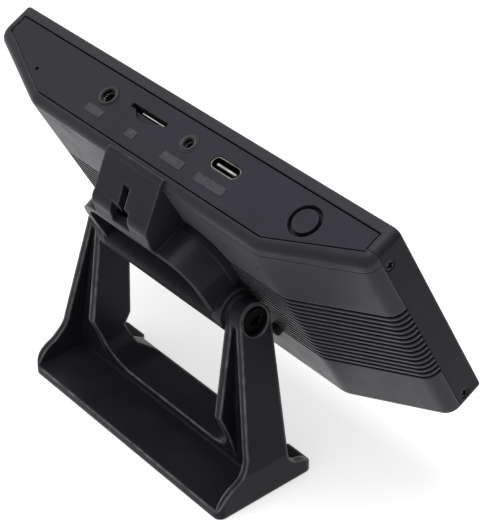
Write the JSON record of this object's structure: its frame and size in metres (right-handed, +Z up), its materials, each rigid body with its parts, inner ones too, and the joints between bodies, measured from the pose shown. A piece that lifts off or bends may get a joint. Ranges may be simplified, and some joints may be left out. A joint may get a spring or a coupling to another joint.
{
  "type": "tilting desk display",
  "caption": "Small flat display with sockets along its top edge, carried on a U-shaped stand by a yoke that lets it tilt; a power button is set into the top.",
  "frame": {"origin": "centre of the underside of the base", "axes": "+Z up, screen faces -Y and leans back, +X along the long edge"},
  "size_m": [0.131, 0.0539, 0.0848],
  "materials": {
    "case": "satin",
    "panel": "matte",
    "stand": "satin",
    "lens": "gloss",
    "display": "satin",
    "light_guide": "satin",
    "sheet": "satin",
    "ribbon": "satin",
    "board": "satin",
    "black_moulding": "satin",
    "plated_steel": "satin",
    "screw": "satin",
    "insert": "satin",
    "washer": "satin",
    "weight": "satin",
    "rubber": "matte"
  },
  "bodies": {
    "stand": {"stand_frame": "stand", "base_weight": "weight", "base_pad": "rubber"},
    "display": {"front_frame": "case", "rear_cover": "case", "top_cap": "case", "port_panel": "panel", "tilt_yoke": "stand", "cover_lens": "lens", "lcd_panel": "display", "backlight": "light_guide", "panel_bracket": "sheet", "display_cable": "ribbon", "main_board": "board", "aux_jack": "black_moulding", "av_jack": "black_moulding", "usb_c_tongue": "black_moulding", "power_switch": "black_moulding", "usb_c_shell": "plated_steel", "card_reader": "plated_steel", "microphone": "plated_steel", "speaker": "plated_steel", "side_screws": "screw", "board_screws": "screw", "yoke_screws": "screw", "pivot_screws": "screw", "pivot_inserts": "insert", "friction_washers": "washer", "rear_bumpers": "rubber"},
    "power_button": {"power_button": "panel"}
  },
  "joints": [
    {"name": "display_tilt", "type": "hinge", "parent": "stand", "child": "display", "pos_m": [0, -0.00284, 0.0444], "axis": [-1, 0, 0], "range_deg": [-22, 45]},
    {"name": "power_press", "type": "slide", "parent": "display", "child": "power_button", "axis": [0, -0.471, -0.8821], "range_m": [0, 0.0006], "stiffness_N_per_m": 2000, "springref_m": -0.0003}
  ]
}
